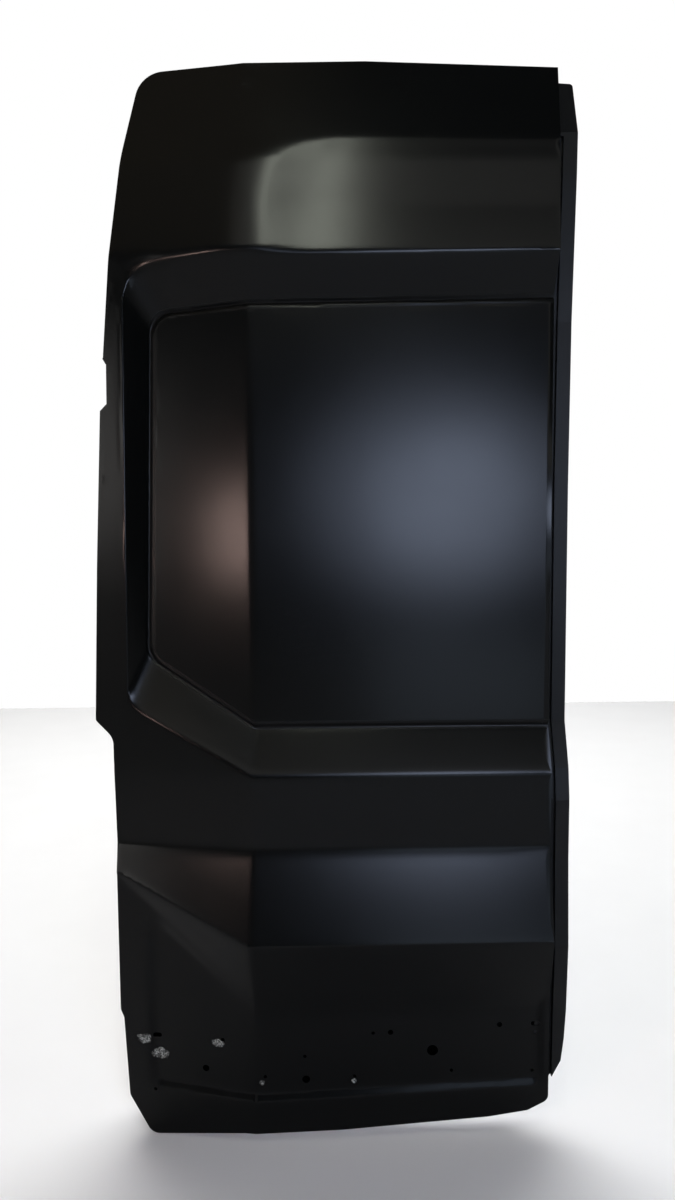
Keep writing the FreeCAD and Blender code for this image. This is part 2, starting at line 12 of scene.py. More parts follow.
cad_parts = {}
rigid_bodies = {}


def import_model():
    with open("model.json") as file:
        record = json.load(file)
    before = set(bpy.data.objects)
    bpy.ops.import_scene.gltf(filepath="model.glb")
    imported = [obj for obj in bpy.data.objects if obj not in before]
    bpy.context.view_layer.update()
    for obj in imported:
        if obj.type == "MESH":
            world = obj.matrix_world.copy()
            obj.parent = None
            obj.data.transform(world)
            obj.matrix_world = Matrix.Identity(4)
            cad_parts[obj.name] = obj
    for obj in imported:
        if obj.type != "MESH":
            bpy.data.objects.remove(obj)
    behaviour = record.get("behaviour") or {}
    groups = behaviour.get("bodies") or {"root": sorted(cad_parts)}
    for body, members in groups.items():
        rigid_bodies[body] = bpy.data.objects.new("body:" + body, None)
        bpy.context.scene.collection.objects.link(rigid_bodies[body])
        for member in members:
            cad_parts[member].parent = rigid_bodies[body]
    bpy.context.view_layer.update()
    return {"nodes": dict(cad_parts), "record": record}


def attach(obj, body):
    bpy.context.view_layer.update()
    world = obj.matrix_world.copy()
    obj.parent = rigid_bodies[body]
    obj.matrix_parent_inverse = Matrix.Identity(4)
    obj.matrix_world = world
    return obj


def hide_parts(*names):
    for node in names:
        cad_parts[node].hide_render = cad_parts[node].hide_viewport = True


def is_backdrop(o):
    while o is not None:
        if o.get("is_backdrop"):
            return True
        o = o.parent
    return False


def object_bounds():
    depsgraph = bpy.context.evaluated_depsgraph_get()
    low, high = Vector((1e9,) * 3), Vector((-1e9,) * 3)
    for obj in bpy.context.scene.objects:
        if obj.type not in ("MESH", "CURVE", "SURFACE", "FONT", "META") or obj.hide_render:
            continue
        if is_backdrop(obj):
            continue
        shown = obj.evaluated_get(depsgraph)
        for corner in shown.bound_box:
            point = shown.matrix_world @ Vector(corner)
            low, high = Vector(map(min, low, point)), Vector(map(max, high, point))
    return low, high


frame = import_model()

bl_info = {
    "name": "Van rear door shell",
    "version": (1, 0, 0),
    "blender": (4, 5, 0),
    "location": "View3D > Sidebar > Door",
    "description": "Looks of a bare, primed rear door shell: refined skin, welds, sealer and studio",
    "category": "Object",
}

# Places on the door in metres: x runs from the hinge side to the seam, y inward and z up.
SKIN_T = 0.0012
TURN = math.radians(11.5)
BEND_X = 0.228
BEND_LOW_Z = -1.15
BEND_HIGH_Z = 0.45
BEND_HALF = 0.006
HEM_WIDE = 0.034
BROW_Z = 0.152
PANE_LOW_Z = -0.64
FLARE_Z = -0.836
FOOT_Z = -1.116
FOOT_RISE = 0.83
INNER_FACE_Y = -0.0045
INNER_SEAM_X = 0.700
INNER_HINGE_X = 0.045
BEAM_FEET_Z = (0.224, 0.304, -0.806, -0.724, -1.186, -1.100)

# Corners of the window groove as x, z and radius, along which a painted shade line is drawn, and pale
# patches as x, z, half width and half height.
GROOVE = ((0.762, 0.1378, 0.0), (0.232, 0.1285, 0.05), (0.0610, 0.1180, 0.040),
          (0.0434, -0.4935, 0.042), (0.232, -0.6137, 0.05), (0.762, -0.6155, 0.0))
PALE_PATCHES = ((0.0209, -1.2037, 0.014, 0.009), (0.0509, -1.2320, 0.016, 0.011),
                (0.1595, -1.2021, 0.011, 0.008), (0.2401, -1.2722, 0.005, 0.005),
                (0.4087, -1.2718, 0.005, 0.005))
ARC_STEPS = 6

# How the skin's mesh is read. A face looks along y when its normal's y part is over FACING.
# Points nearer than SAME_POINT are one.
FACING = 0.3
SAME_POINT = 1e-5
SHEET_EPSILON = 1e-7
RAY_START_Y = -2.0
BEND_ASIDE = (0.0, 0.001, -0.001)

# How the skin is rounded. Pairs are the two ends of a smooth change.
LINE_REACH = 0.006
LINE_TURN = (0.002, 0.005)
LINE_FADE = 0.02
BROW_WIDER = 1.5
BROW_FADE = 0.03
BROW_RISE = (-0.004, 0.022)
BEND_FADE = 0.03
SINK_REACH = 0.011
SINK_LEAST = 0.0012
SWEEP_FADE = (1.5, 2.0)
SWEEP_SAMPLES = 60
HOLLOW_SAMPLES = 8
HOLLOW_CORE = 0.55
HOLLOW_HEMS = 3
FLARE_HALF = 0.06
FOOT_HALF = 0.075
FOOT_FADE = 0.15

# How fine the sheet is, and how far a point may move: in the hem's strip, and more for each metre past it.
RIM_STEP = 0.003
CELL_REACH = 0.75
FINE_TURN = 0.0016
MIDDLE_TURN = 0.0004
HEM_MOVE = 0.0009
INNER_MOVE = 0.4

# Spot welds: height to width, and the smallest and largest size.
WELD_FLAT = 0.22
WELD_SIZES = (0.8, 1.15)

# Camera, floor and backdrop, in metres.
CAMERA_PLACE = (0.3474, -1.744, -0.2402)
CAMERA_PITCH = math.radians(5.0)
CAMERA_YAW = math.radians(1.27)
CAMERA_ROLL = math.radians(-0.38)
SENSOR_WIDE = 36.0
FLOOR_GAP = 0.002
FLOOR_HALF = 9.0
FLOOR_FRONT_Y = -6.0
FLOOR_BACK_Y = 4.0
WALL_TOP_Z = 8.0

# Lights as name, place, point aimed at, width and height, colour and shape. Their powers are settings.
LIGHTS = (
    ("day", (0.88, -2.25, -0.15), (0.5, 0, -0.15), (0.62, 0.56), (0.64, 0.75, 1.0), "ELLIPSE"),
    ("day_wide", (0.86, -2.3, -0.15), (0.5, 0, -0.2), (1.15, 0.84), (0.64, 0.74, 1.0), "ELLIPSE"),
    ("day_far", (1.63, -8.0, -0.80), (0.5, 0, -0.6), (1.5, 0.7), (0.62, 0.76, 1.0), "RECTANGLE"),
    ("day_low", (0.97, -2.25, -0.95), (0.5, 0, -0.6), (0.75, 0.42), (0.66, 0.80, 1.0), "RECTANGLE"),
    ("warm", (-0.636, -1.7, -0.30), (0.16, 0, -0.3), (0.07, 0.28), (1.0, 0.70, 0.62), "RECTANGLE"),
    ("lamp", (0.37, -1.6, 1.06), (0.4, 0, 0.3), (0.12, 0.56), (0.95, 1.0, 0.86), "RECTANGLE"),
    ("side", (-6.9, -8.0, 0.2), (0.1, 0, -0.2), (2.4, 2.2), (1.0, 0.98, 0.95), "RECTANGLE"),
    ("sky", (0.7, -8.0, 3.3), (0.4, 0, 0.0), (5.5, 1.9), (1.0, 0.98, 0.92), "RECTANGLE"),
    ("ceiling", (-2.2, -4.2, 4.0), (0.1, 0, 0.3), (5.0, 4.0), (1.0, 0.82, 0.55), "RECTANGLE"),
)
BACK_PLACE = (0.35, 2.2, 3.4)
BACK_AIM = (0.35, 2.0)
BACK_SIZE = (5.0, 2.4)


def rgb(r, g, b):
    return (r, g, b, 1.0)


SKIN_BLACK = rgb(0.0016, 0.0018, 0.0018)
SKIN_ROUGH = 0.205
INNER_BLACK = rgb(0.0050, 0.0051, 0.0052)
INNER_ROUGH = 0.40
DUST_GREY = rgb(0.10, 0.10, 0.095)
PATCH_GREY = rgb(0.34, 0.35, 0.33)
# Painted shade: near black laid along the window groove for the shadow in it.
GROOVE_PAINTED_SHADE = rgb(0.0004, 0.0004, 0.0004)
MASTIC_DARK = rgb(0.028, 0.027, 0.025)
MASTIC_PALE = rgb(0.06, 0.058, 0.055)
FLOOR_DARK = rgb(0.70, 0.70, 0.70)
FLOOR_PALE = rgb(0.73, 0.73, 0.73)
WHITE = rgb(1.0, 1.0, 1.0)
WORLD_GREY = rgb(0.05, 0.05, 0.052)
PRIMER_IOR = 1.22


class S:
    """A shader socket that takes part in Python expressions."""

    def __init__(self, maker, socket):
        self.maker = maker
        self.socket = socket

    def _math(self, op, other, flip=False):
        a, b = (other, self) if flip else (self, other)
        return self.maker.node("ShaderNodeMath", {"operation": op}, {0: a, 1: b})

    def __add__(self, o):
        return self._math("ADD", o)

    def __radd__(self, o):
        return self._math("ADD", o, True)

    def __sub__(self, o):
        return self._math("SUBTRACT", o)

    def __rsub__(self, o):
        return self._math("SUBTRACT", o, True)

    def __mul__(self, o):
        return self._math("MULTIPLY", o)

    def __rmul__(self, o):
        return self._math("MULTIPLY", o, True)

    def __truediv__(self, o):
        return self._math("DIVIDE", o)

    def __rtruediv__(self, o):
        return self._math("DIVIDE", o, True)

    def __pow__(self, o):
        return self._math("POWER", o)

    def __rpow__(self, o):
        return self._math("POWER", o, True)


class Maker:
    """Builds one material's node tree."""

    def __init__(self, name):
        self.material = bpy.data.materials.new(name)
        self.material.use_nodes = True
        self.tree = self.material.node_tree
        self.bsdf = self.tree.nodes["Principled BSDF"]

    def node(self, kind, settings=None, sockets=None, out=0):
        made = self.tree.nodes.new(kind)
        for key, value in (settings or {}).items():
            setattr(made, key, value)
        for key, value in (sockets or {}).items():
            self.put(made.inputs[key], value)
        return S(self, made.outputs[out])

    def put(self, socket, value):
        if isinstance(value, S):
            self.tree.links.new(value.socket, socket)
        else:
            socket.default_value = value

    def coords(self):
        return self.node("ShaderNodeTexCoord", out="Object")

    def axes(self):
        split = self.tree.nodes.new("ShaderNodeSeparateXYZ")
        self.put(split.inputs[0], self.coords())
        return [S(self, split.outputs[i]) for i in range(3)]

    def noise(self, scale, detail, rough):
        sockets = {"Vector": self.coords(), "Scale": scale, "Detail": detail, "Roughness": rough}
        return self.node("ShaderNodeTexNoise", {}, sockets, out="Fac")

    def ramp(self, value, low, high):
        return self.node("ShaderNodeMapRange", {"interpolation_type": "SMOOTHSTEP"},
                         {"Value": value, "From Min": low, "From Max": high})

    def mix(self, factor, a, b):
        sockets = {"Factor": factor, "A": a, "B": b}
        return self.node("ShaderNodeMix", {"data_type": "RGBA"}, sockets, out="Result")

    def bump(self, height, strength, distance):
        sockets = {"Height": height, "Strength": strength, "Distance": distance}
        return self.node("ShaderNodeBump", {}, sockets)

    def surface(self, **sockets):
        for key, value in sockets.items():
            self.put(self.bsdf.inputs[key.replace("_", " ")], value)
        return self.material


def rounded(corners):
    """A line of (x, z) points past corners given as (x, z, radius), with each inner corner curved."""
    line = [Vector(corners[0][:2])]
    for before, (x, z, radius), after in zip(corners, corners[1:], corners[2:]):
        corner = Vector((x, z))
        back = (Vector(before[:2]) - corner).normalized()
        ahead = (Vector(after[:2]) - corner).normalized()
        cut = radius / math.tan(math.acos(back.dot(ahead)) / 2)
        for k in range(ARC_STEPS + 1):
            t = k / ARC_STEPS
            line.append(corner + back * cut * (1 - t) ** 2 + ahead * cut * t ** 2)
    line.append(Vector(corners[-1][:2]))
    return line


def distance_to_line(m, x, z, line):
    """Distance in the x-z plane to a line of points."""
    best = None
    for a, b in zip(line, line[1:]):
        run = b - a
        part = ((x - a.x) * run.x + (z - a.y) * run.y) / run.length_squared
        part = m.node("ShaderNodeClamp", {}, {"Value": part})
        off_x, off_z = x - a.x - part * run.x, z - a.y - part * run.y
        square = off_x * off_x + off_z * off_z
        if best is None:
            best = square
        else:
            best = m.node("ShaderNodeMath", {"operation": "MINIMUM"}, {0: best, 1: square})
    return best ** 0.5


def make_ecoat(name, base, rough, patches=()):
    """Satin black dip primer with fine orange peel and dust.

    Where patches are given, it also has them, pale and speckled, and a painted shade line along the window
    groove, near black where the groove's shadow falls.
    """
    m = Maker(name)
    cloud = m.noise(scale=3.1, detail=4.0, rough=0.55)
    peel = m.noise(scale=420.0, detail=1.0, rough=0.5)
    specks = m.ramp(m.noise(scale=900.0, detail=1.0, rough=0.5), low=0.70, high=0.78)
    dust = specks * m.ramp(m.noise(scale=7.0, detail=3.0, rough=0.6), low=0.48, high=0.66)
    cloudy = rgb(base[0] * 1.5, base[1] * 1.5, base[2] * 1.55)
    colour = m.mix(cloud * 0.6, base, cloudy)
    colour = m.mix(dust * 0.35, colour, DUST_GREY)
    roughness = rough + (cloud - 0.5) * 0.10 + dust * 0.2
    if patches:
        x, _, z = m.axes()
        edge = (m.noise(scale=130.0, detail=3.0, rough=0.65) - 0.5) * 2.6
        speckle = m.ramp(m.noise(scale=330.0, detail=3.0, rough=0.7), low=0.44, high=0.60)
        pale = 0.0
        for across, up, wide, high in patches:
            away = ((x - across) / wide) ** 2.0 + ((z - up) / high) ** 2.0 + edge
            pale = 1.0 - (1.0 - pale) * m.ramp(away, low=0.45, high=1.1)
        pale = pale * (speckle * 0.7 + 0.1)
        colour = m.mix(pale, colour, PATCH_GREY)
        roughness = roughness + pale * 0.5
        # Painted shade: the colour turns near black in a thin line along the window groove, for the shadow
        # in it; beside the line only the roughness rises.
        off_groove = distance_to_line(m, x, z, rounded(GROOVE))
        groove = 1.0 - m.ramp(off_groove, low=0.0021, high=0.0041)
        beside = 1.0 - m.ramp(off_groove, low=0.006, high=0.012)
        colour = m.mix(groove, colour, GROOVE_PAINTED_SHADE)
        roughness = roughness + groove * 0.5 + beside * 0.10
    normal = m.bump(peel, strength=0.10, distance=0.0004)
    return m.surface(Base_Color=colour, Roughness=roughness, Normal=normal, IOR=PRIMER_IOR)


def make_mastic(name):
    """Dark grey sealer and bead material with a soft grain."""
    m = Maker(name)
    grain = m.noise(scale=160.0, detail=3.0, rough=0.6)
    colour = m.mix(grain, MASTIC_DARK, MASTIC_PALE)
    normal = m.bump(grain, strength=0.3, distance=0.001)
    return m.surface(Base_Color=colour, Roughness=0.62 + grain * 0.2, Normal=normal)


MATERIALS = {}


def sheet_mesh(name, points, faces):
    mesh = bpy.data.meshes.new(name)
    mesh.from_pydata(points, [], faces)
    mesh.update()
    return mesh


def new_piece(name, mesh, slot, replaced=None):
    """A visible piece that rides on the door, in one finish."""
    piece = bpy.data.objects.new(name, mesh)
    bpy.context.scene.collection.objects.link(piece)
    mesh.materials.clear()
    mesh.materials.append(MATERIALS[slot])
    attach(piece, "root")
    if replaced:
        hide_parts(replaced)


class DoorSkin(bpy.types.PropertyGroup):
    grid: FloatProperty(name="Grid", description="Spacing of the points on the street side",
                        default=0.008, unit="LENGTH")
    fine: IntProperty(name="Finer", description="How many times finer the grid is along pressed lines",
                      default=4)
    crease: FloatProperty(name="Crease", description="Reach of the rounding along pressed lines",
                          default=0.008, unit="LENGTH")
    groove: FloatProperty(name="Groove", description="Reach of the rounding in the window groove",
                          default=0.0012, unit="LENGTH")
    sink: FloatProperty(name="Sink", description="How much further in the window groove is drawn",
                        default=1.6)
    sweep: FloatProperty(name="Sweep", description="Reach of the soft bend above the window",
                         default=0.09, unit="LENGTH")
    flare: FloatProperty(name="Flare", description="Reach of the hollow over the flare",
                         default=0.02, unit="LENGTH")
    foot: FloatProperty(name="Foot", description="Reach of the hollow under the lower crease",
                        default=0.055, unit="LENGTH")
    edge: FloatProperty(name="Edge", description="Strip along the edge that keeps its lines",
                        default=0.012, unit="LENGTH")


class DoorSeams(bpy.types.PropertyGroup):
    spacing: FloatProperty(name="Spacing", description="Distance between spot welds",
                           default=0.042, unit="LENGTH")
    nugget: FloatProperty(name="Nugget", description="Radius of a spot weld",
                          default=0.0034, unit="LENGTH")
    bead: FloatProperty(name="Bead", description="Radius of the sealer along the hem",
                        default=0.0022, unit="LENGTH")
    seed: IntProperty(name="Seed", description="Seed of the small differences between welds", default=7)


class DoorStudio(bpy.types.PropertyGroup):
    lens: FloatProperty(name="Lens", description="Focal length in millimetres", default=28.5)
    day: FloatProperty(name="Daylight", description="Power of the bluish light", default=10.9)
    day_wide: FloatProperty(name="Wide daylight", description="Power of the dimmer bluish light round it",
                            default=14.8)
    day_far: FloatProperty(name="Far daylight", description="Power of the far bluish light",
                           default=5.5)
    day_low: FloatProperty(name="Low daylight", description="Power of the dim bluish light under it",
                           default=2.2)
    warm: FloatProperty(name="Warm", description="Power of the small warm light", default=6.3)
    side: FloatProperty(name="Side", description="Power of the wide dim light beside the hinges",
                        default=115.0)
    sky: FloatProperty(name="Sky", description="Power of the wide dim light above the front", default=46.0)
    ceiling: FloatProperty(name="Ceiling", description="Power of the brownish light overhead", default=24.0)
    back: FloatProperty(name="Back", description="Power of the light over the floor behind", default=310.0)
    lamp: FloatProperty(name="Lamp", description="Power of the tall pale light", default=7.8)


class DOOR_OT_materials(bpy.types.Operator):
    """Make the finishes and give them to every piece of the frame"""
    bl_idname = "door.materials"
    bl_label = "Finishes"

    def execute(self, context):
        MATERIALS["ecoat_skin"] = make_ecoat("ecoat_skin", SKIN_BLACK, SKIN_ROUGH, PALE_PATCHES)
        MATERIALS["ecoat_inner"] = make_ecoat("ecoat_inner", INNER_BLACK, INNER_ROUGH)
        MATERIALS["mastic"] = make_mastic("mastic")
        slots = {p["node"]: p["material_slot"] for p in frame["record"]["subparts"]}
        for node, piece in frame["nodes"].items():
            piece.data.materials.clear()
            piece.data.materials.append(MATERIALS[slots[node]])
        return {"FINISHED"}


def largest_patch(work, side):
    """Numbers of the faces in the largest patch that looks to one side along y."""
    work.faces.index_update()
    todo = {f for f in work.faces if f.normal.y * side > FACING}
    patches = []
    while todo:
        stack = [todo.pop()]
        patch = []
        while stack:
            face = stack.pop()
            patch.append(face)
            for edge in face.edges:
                for near in edge.link_faces:
                    if near in todo:
                        todo.remove(near)
                        stack.append(near)
        patches.append(patch)
    best = max(patches, key=lambda patch: sum(f.calc_area() for f in patch))
    return {f.index for f in best}


# Two rings of eight places in a unit disc, as across, up and weight.
RINGS = [(0.5 * math.cos(k * math.pi / 4), 0.5 * math.sin(k * math.pi / 4), 1.0) for k in range(8)]
RINGS += [(math.cos((k + 0.5) * math.pi / 4), math.sin((k + 0.5) * math.pi / 4), 0.55) for k in range(8)]
OWN_WEIGHT = 2.0


def smooth_step(value, low, high):
    part = min(1.0, max(0.0, (value - low) / (high - low)))
    return part * part * (3.0 - 2.0 * part)


def at_bend(x, z):
    """Whether a place lies on the bend, where the two facets meet in small steps."""
    return abs(x - BEND_X) < BEND_HALF and BEND_LOW_Z < z < BEND_HIGH_Z


class SkinDepth:
    """Depth of the skin's street side at a place, as built and rounded."""

    def __init__(self, work, settings):
        self.tree = BVHTree.FromBMesh(work)
        self.settings = settings

    def at(self, x, z):
        """Depth as built, or None off the skin. On the bend, places just beside it are tried too."""
        for aside in BEND_ASIDE:
            hit = self.tree.ray_cast(Vector((x + aside, RAY_START_Y, z)), Vector((0, 1, 0)))[0]
            if hit is not None:
                return hit.y
            if not at_bend(x, z):
                return None
        return None

    def turn(self, x, z, own, reach):
        """Largest turn of the surface about a place."""
        worst = 0.0
        for dx, dz in ((1, 0), (0, 1), (0.7, 0.7), (0.7, -0.7)):
            a = self.at(x + dx * reach, z + dz * reach)
            b = self.at(x - dx * reach, z - dz * reach)
            if a is not None and b is not None:
                worst = max(worst, abs(a + b - 2 * own))
        return worst

    def round(self, x, z, own, reach):
        """Mean over a small disc, which rounds a pressed line."""
        total, share = own * OWN_WEIGHT, OWN_WEIGHT
        for dx, dz, weight in RINGS:
            y = self.at(x + dx * reach, z + dz * reach)
            if y is not None:
                total += y * weight
                share += weight
        return total / share

    def spread(self, x, z, own, across, up, count):
        """Mean over a line of places, taken in pairs so that a flat stays flat."""
        total, share = own, 1.0
        for k in range(1, count):
            part = k / count
            a = self.at(x + across * part, z + up * part)
            b = self.at(x - across * part, z - up * part)
            if a is not None and b is not None:
                total += (a + b) * (1 - part)
                share += 2 * (1 - part)
        return total / share

    def soft(self, x, z, own, away):
        """Rounded depth: little on pressed lines, wide at the bend above the window and in the hollows."""
        settings = self.settings
        sharp = smooth_step(self.turn(x, z, own, LINE_REACH), *LINE_TURN)
        sharp *= 1.0 - smooth_step(z, BROW_Z - LINE_FADE, BROW_Z)
        left = 1.0 - smooth_step(x, BEND_X - BEND_FADE, BEND_X + BEND_FADE)
        wide = settings.crease * (1.0 + BROW_WIDER * smooth_step(z, BROW_Z - BROW_FADE, BROW_Z) * left)
        y = self.round(x, z, own, wide + (settings.groove - wide) * sharp)
        if PANE_LOW_Z < z < BROW_Z and sharp > 0.0:
            dip = own - self.round(x, z, own, SINK_REACH) - SINK_LEAST
            y += max(0.0, dip) * sharp * settings.sink
        return self.hollows(x, z, own, away, self.brow(x, z, y))

    def brow(self, x, z, y):
        """Depth with the soft bend above the window."""
        settings = self.settings
        weight = smooth_step(z, BROW_Z + BROW_RISE[0], BROW_Z + BROW_RISE[1])
        fade = [settings.sweep * part for part in SWEEP_FADE]
        weight *= 1.0 - smooth_step(abs(x - BEND_X), *fade)
        if weight > 0.0:
            rows = []
            for dz in (-settings.crease / 2, 0.0, settings.crease / 2):
                middle = self.at(x, z + dz)
                if middle is not None:
                    rows.append(self.spread(x, z + dz, middle, settings.sweep, 0.0, SWEEP_SAMPLES))
            y += (sum(rows) / len(rows) - y) * weight
        return y

    def hollows(self, x, z, own, away, y):
        """Depth with the hollow over the flare and, right of the bend, the one under the lower crease."""
        settings = self.settings
        foot = FOOT_Z + max(0.0, BEND_X - x) * FOOT_RISE
        on_right = smooth_step(x, BEND_X - FOOT_FADE, BEND_X)
        for middle, half, reach, part in ((FLARE_Z, FLARE_HALF, settings.flare, 1.0),
                                          (foot, FOOT_HALF, settings.foot, on_right)):
            weight = (1.0 - smooth_step(abs(z - middle), half * HOLLOW_CORE, half)) * part
            weight *= smooth_step(away, settings.edge, HEM_WIDE * HOLLOW_HEMS)
            if weight > 0.0:
                y += (self.spread(x, z, own, 0.0, reach, HOLLOW_SAMPLES) - y) * weight
        return y


def open_edges(work):
    """Edges round the patch and its holes, without the small open steps on the bend."""
    rim = []
    for e in work.edges:
        if len(e.link_faces) == 1 and not all(at_bend(v.co.x, v.co.z) for v in e.verts):
            rim.append(e)
    return rim


def rim_tree(rim):
    """Places along the open edges, to find how far a point is from them."""
    steps = {e: max(1, int(e.calc_length() / RIM_STEP)) for e in rim}
    tree = KDTree(sum(steps.values()))
    for e, count in steps.items():
        for i in range(count):
            spot = e.verts[0].co.lerp(e.verts[1].co, (i + 0.5) / count)
            tree.insert((spot.x, spot.z, 0), i)
    tree.balance()
    return tree


def fine_sheet(work, settings):
    """Points and triangles of a fine sheet over a patch, rounded inside and true along its edges."""
    skin = SkinDepth(work, settings)
    rim = open_edges(work)
    order, flat, lines, depths = {}, [], [], []
    for e in rim:
        for v in e.verts:
            if v not in order:
                order[v] = len(flat)
                flat.append(Vector((v.co.x, v.co.z)))
                depths.append(v.co.y)
        lines.append((order[e.verts[0]], order[e.verts[1]]))
    near_rim = rim_tree(rim)
    low_x, high_x = min(p.x for p in flat), max(p.x for p in flat)
    low_z, high_z = min(p.y for p in flat), max(p.y for p in flat)
    grid = settings.grid
    for j in range(int((high_z - low_z) / grid) + 1):
        for i in range(int((high_x - low_x) / grid) + 1):
            cell_x, cell_z = low_x + grid * (i + 0.5), low_z + grid * (j + 0.5)
            own = skin.at(cell_x, cell_z)
            turn = 0.0 if own is None else skin.turn(cell_x, cell_z, own, grid * CELL_REACH)
            count = settings.fine if turn > FINE_TURN else (2 if turn > MIDDLE_TURN else 1)
            step = grid / count
            for k in range(count * count):
                x = cell_x + step * (k % count - (count - 1) / 2)
                z = cell_z + step * (k // count - (count - 1) / 2)
                own = skin.at(x, z)
                away = 0.0 if own is None else near_rim.find((x, z, 0))[2]
                if away < step * 0.5:
                    continue
                change = (skin.soft(x, z, own, away) - own) * smooth_step(away, 0.0, settings.edge)
                most = HEM_MOVE + max(0.0, away - HEM_WIDE) * INNER_MOVE
                flat.append(Vector((x, z)))
                depths.append(own + change * most / math.hypot(change, most))
    made = delaunay_2d_cdt(flat, lines, [], 0, SHEET_EPSILON)
    spots, triangles, origins = made[0], made[2], made[3]
    points = []
    for spot, sources in zip(spots, origins):
        y = depths[sources[0]] if sources else skin.at(spot.x, spot.y)
        points.append((spot.x, y, spot.y))
    faces = []
    for a, b, c in triangles:
        middle = (spots[a] + spots[b] + spots[c]) / 3
        if skin.at(middle.x, middle.y) is not None:
            turn = (spots[b] - spots[a]).cross(spots[c] - spots[a])
            faces.append((a, b, c) if turn > 0 else (a, c, b))
    return points, faces


class DOOR_OT_skin(bpy.types.Operator):
    """Lay a fine sheet over the skin's street side, with its pressed lines rounded"""
    bl_idname = "door.skin"
    bl_label = "Skin"

    def execute(self, context):
        settings = context.scene.door_skin
        whole = bmesh.new()
        whole.from_mesh(frame["nodes"]["outer_skin"].data)
        bmesh.ops.remove_doubles(whole, verts=whole.verts, dist=SAME_POINT)
        whole.normal_update()
        front, inside = largest_patch(whole, -1), largest_patch(whole, 1)
        edge = whole.copy()
        covered = [f for f in edge.faces if f.index in front | inside]
        bmesh.ops.delete(edge, geom=covered, context="FACES")
        rest = [f for f in whole.faces if f.index not in front]
        bmesh.ops.delete(whole, geom=rest, context="FACES")
        points, faces = fine_sheet(whole, settings)
        sheet = sheet_mesh("skin_front", points, faces)
        inner_points = [(x, y + SKIN_T, z) for x, y, z in points]
        behind = sheet_mesh("skin_inside", inner_points, [f[::-1] for f in faces])
        hem = bpy.data.meshes.new("skin_hem")
        edge.to_mesh(hem)
        hem.shade_flat()
        whole.free()
        edge.free()
        for mesh in (sheet, behind):
            mesh.shade_smooth()
        new_piece("skin_front", sheet, "ecoat_skin", "outer_skin")
        new_piece("skin_inside", behind, "ecoat_inner")
        new_piece("skin_hem", hem, "ecoat_skin")
        return {"FINISHED"}


class Growth:
    """A node tree for what repeats along lines, which is given its inputs and leaves a plain mesh."""

    def __init__(self, name, inputs):
        self.tree = bpy.data.node_groups.new(name, "GeometryNodeTree")
        face = self.tree.interface
        self.ids = {}
        face.new_socket("Lines", in_out="INPUT", socket_type="NodeSocketGeometry")
        for key, kind in inputs.items():
            socket = face.new_socket(key, in_out="INPUT", socket_type="NodeSocket" + kind)
            self.ids[key] = socket.identifier
        face.new_socket("Pieces", in_out="OUTPUT", socket_type="NodeSocketGeometry")
        self.start = self.tree.nodes.new("NodeGroupInput")
        self.end = self.tree.nodes.new("NodeGroupOutput")

    def add(self, kind, settings=None, sockets=None):
        node = self.tree.nodes.new(kind)
        for key, value in (settings or {}).items():
            setattr(node, key, value)
        for key, value in (sockets or {}).items():
            if isinstance(value, bpy.types.NodeSocket):
                self.tree.links.new(value, node.inputs[key])
            else:
                node.inputs[key].default_value = value
        return node

    def given(self, key):
        return self.start.outputs[key]

    def close(self, pieces):
        whole = self.add("GeometryNodeRealizeInstances", None, {"Geometry": pieces})
        smooth = self.add("GeometryNodeSetShadeSmooth", None, {"Geometry": whole.outputs[0]})
        done = self.add("GeometryNodeSetMaterial", None,
                        {"Geometry": smooth.outputs[0], "Material": self.given("Finish")})
        self.tree.links.new(done.outputs[0], self.end.inputs[0])

    def grow(self, name, lines, slot, values):
        """Run the tree over lines of points and leave a plain piece."""
        points, edges = [], []
        for line in lines:
            edges += [(len(points) + i, len(points) + i + 1) for i in range(len(line) - 1)]
            points += line
        mesh = bpy.data.meshes.new(name + "_lines")
        mesh.from_pydata(points, edges, [])
        holder = bpy.data.objects.new(name + "_lines", mesh)
        bpy.context.scene.collection.objects.link(holder)
        modifier = holder.modifiers.new("growth", "NODES")
        modifier.node_group = self.tree
        for key, value in dict(values, Finish=MATERIALS[slot]).items():
            modifier[self.ids[key]] = value
        ready = holder.evaluated_get(bpy.context.evaluated_depsgraph_get())
        grown = bpy.data.meshes.new_from_object(ready)
        bpy.data.objects.remove(holder)
        if not grown.polygons:
            raise RuntimeError(name + " came out empty")
        grown.name = name
        new_piece(name, grown, slot)


def weld_growth():
    """Flat domes of slightly different sizes, set along lines at one spacing."""
    g = Growth("spot_welds", {"Spacing": "Float", "Nugget": "Float", "Seed": "Int", "Finish": "Material"})
    curve = g.add("GeometryNodeMeshToCurve", None, {"Mesh": g.given("Lines")})
    places = g.add("GeometryNodeResampleCurve", {"mode": "LENGTH"},
                   {"Curve": curve.outputs[0], "Length": g.given("Spacing")})
    dome = g.add("GeometryNodeMeshUVSphere", None,
                 {"Segments": 12, "Rings": 6, "Radius": g.given("Nugget")})
    flat = g.add("GeometryNodeTransform", None,
                 {"Geometry": dome.outputs[0], "Scale": (1.0, WELD_FLAT, 1.0)})
    size = g.add("FunctionNodeRandomValue", {"data_type": "FLOAT"},
                 {2: WELD_SIZES[0], 3: WELD_SIZES[1], "Seed": g.given("Seed")})
    nuggets = g.add("GeometryNodeInstanceOnPoints", None,
                    {"Points": places.outputs[0], "Instance": flat.outputs[0], "Scale": size.outputs[1]})
    g.close(nuggets.outputs[0])
    return g


